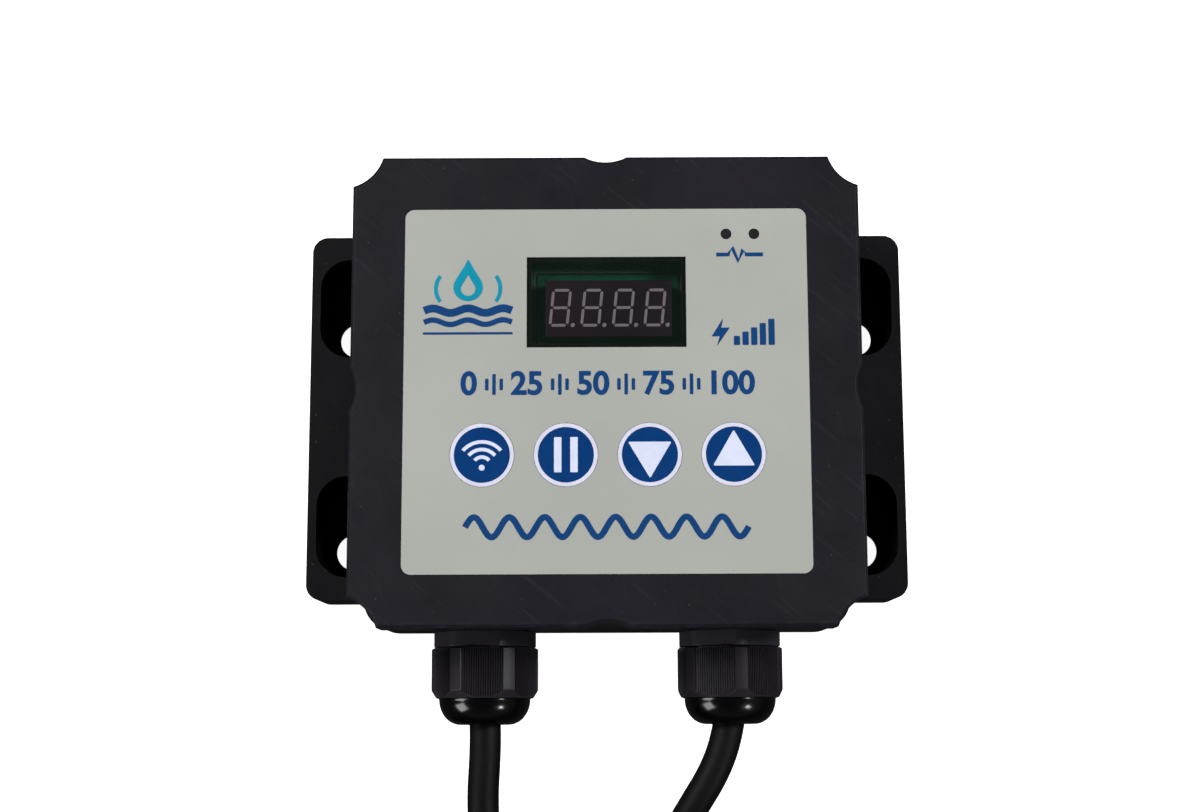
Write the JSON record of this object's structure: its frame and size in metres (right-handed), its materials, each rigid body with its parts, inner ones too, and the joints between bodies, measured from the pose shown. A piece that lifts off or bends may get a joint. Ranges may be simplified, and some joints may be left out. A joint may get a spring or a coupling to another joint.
{
  "type": "aquarium pump controller",
  "caption": "Box-shaped wall-mount pump controller with a grey membrane panel, display, round keys and two cable glands with leads",
  "frame": {"origin": "middle of the flat back face, which the box rests on", "axes": "+Z out of the front panel, +Y the top of the panel, both cable glands look along -Y"},
  "size_m": [0.176, 0.2972, 0.0601],
  "materials": {
    "cover_plastic": "fine matte moulded black plastic",
    "housing_plastic": "matte moulded black plastic",
    "seal_rubber": "soft black rubber",
    "gland_nylon": "satin to glossy black nylon",
    "screw_steel": "zinc plated steel",
    "label_film": "grey-green printed film",
    "key_film": "blue print with a pale ring under film",
    "window_film": "clear dark-tinted film",
    "lens_film": "smoked clear film",
    "display_black": "black face with grey unlit segments",
    "led_resin": "clear resin",
    "switch_plastic": "black plastic",
    "board_green": "green solder mask",
    "module_shield": "tin-plated shield",
    "terminal_plastic": "green terminal plastic",
    "fuse_glass": "glass tube",
    "contact_brass": "bright brass",
    "ferrite": "dark ferrite and tape",
    "capacitor_can": "sleeved aluminium can",
    "chip_black": "black epoxy",
    "heat_sink_aluminium": "extruded aluminium",
    "ribbon_grey": "grey flat cable and headers",
    "cord_jacket": "black PVC jacket",
    "tie_plastic": "black strap",
    "plug_plastic": "black moulded PVC",
    "ring_plastic": "black ribbed plastic"
  },
  "bodies": {
    "root": {"board_link": "ribbon_grey", "bulk_capacitors": "capacitor_can", "control_board": "board_green", "control_board_screws": "screw_steel", "cover_gasket": "seal_rubber", "cover_screws": "screw_steel", "display_module": "display_black", "display_window": "window_film", "drive_module": "chip_black", "front_cover": "cover_plastic", "fuse": "fuse_glass", "fuse_clips": "contact_brass", "gland_body_left": "gland_nylon", "gland_body_right": "gland_nylon", "gland_locknut_left": "gland_nylon", "gland_locknut_right": "gland_nylon", "gland_washer_left": "seal_rubber", "gland_washer_right": "seal_rubber", "heat_sink": "heat_sink_aluminium", "key_switches": "switch_plastic", "label_overlay": "label_film", "line_choke": "ferrite", "mains_coil": "cord_jacket", "mains_cord": "cord_jacket", "mains_pins": "contact_brass", "mains_plug": "plug_plastic", "mains_tail": "cord_jacket", "mains_terminal": "terminal_plastic", "mains_tie": "tie_plastic", "output_terminal": "terminal_plastic", "power_board": "board_green", "power_board_screws": "screw_steel", "pump_connector": "plug_plastic", "pump_cord": "cord_jacket", "pump_pins": "contact_brass", "rear_housing": "housing_plastic", "rectifier": "chip_black", "status_leds": "led_resin", "status_lenses": "lens_film", "transformer": "ferrite", "wifi_module": "module_shield"},
    "key_wifi": {"key_wifi": "key_film", "plunger_wifi": "switch_plastic"},
    "key_pause": {"key_pause": "key_film", "plunger_pause": "switch_plastic"},
    "key_down": {"key_down": "key_film", "plunger_down": "switch_plastic"},
    "key_up": {"key_up": "key_film", "plunger_up": "switch_plastic"},
    "claw_left": {"gland_claw_left": "gland_nylon", "gland_seal_left": "seal_rubber"},
    "nut_left": {"gland_nut_left": "gland_nylon"},
    "claw_right": {"gland_claw_right": "gland_nylon", "gland_seal_right": "seal_rubber"},
    "nut_right": {"gland_nut_right": "gland_nylon"},
    "coupling_ring": {"connector_ring": "ring_plastic"}
  },
  "joints": [
    {"name": "wifi_press", "type": "slide", "parent": "root", "child": "key_wifi", "axis": [0, 0, -1], "range_m": [0, 0.00035], "stiffness_N_per_m": 3000},
    {"name": "pause_press", "type": "slide", "parent": "root", "child": "key_pause", "axis": [0, 0, -1], "range_m": [0, 0.00035], "stiffness_N_per_m": 3000},
    {"name": "down_press", "type": "slide", "parent": "root", "child": "key_down", "axis": [0, 0, -1], "range_m": [0, 0.00035], "stiffness_N_per_m": 3000},
    {"name": "up_press", "type": "slide", "parent": "root", "child": "key_up", "axis": [0, 0, -1], "range_m": [0, 0.00035], "stiffness_N_per_m": 3000},
    {"name": "claw_left_slide", "type": "slide", "parent": "root", "child": "claw_left", "axis": [0, -1, 0], "range_m": [0, 0.0015]},
    {"name": "nut_left_turn", "type": "hinge", "parent": "claw_left", "child": "nut_left", "pos_m": [-0.03, -0.066, 0.03], "axis": [0, -1, 0], "range_deg": [0, 360]},
    {"name": "claw_right_slide", "type": "slide", "parent": "root", "child": "claw_right", "axis": [0, -1, 0], "range_m": [0, 0.0015]},
    {"name": "nut_right_turn", "type": "hinge", "parent": "claw_right", "child": "nut_right", "pos_m": [0.03, -0.066, 0.03], "axis": [0, -1, 0], "range_deg": [0, 360]},
    {"name": "coupling_ring_turn", "type": "hinge", "parent": "root", "child": "coupling_ring", "pos_m": [0.0346, -0.1994, 0.0096], "axis": [0.6357, -0.7719, 0], "continuous": true}
  ],
  "couplings": [
    {"joint": "claw_left_slide", "follows": "nut_left_turn", "m_per_rad": 0.00023873},
    {"joint": "claw_right_slide", "follows": "nut_right_turn", "m_per_rad": 0.00023873}
  ]
}
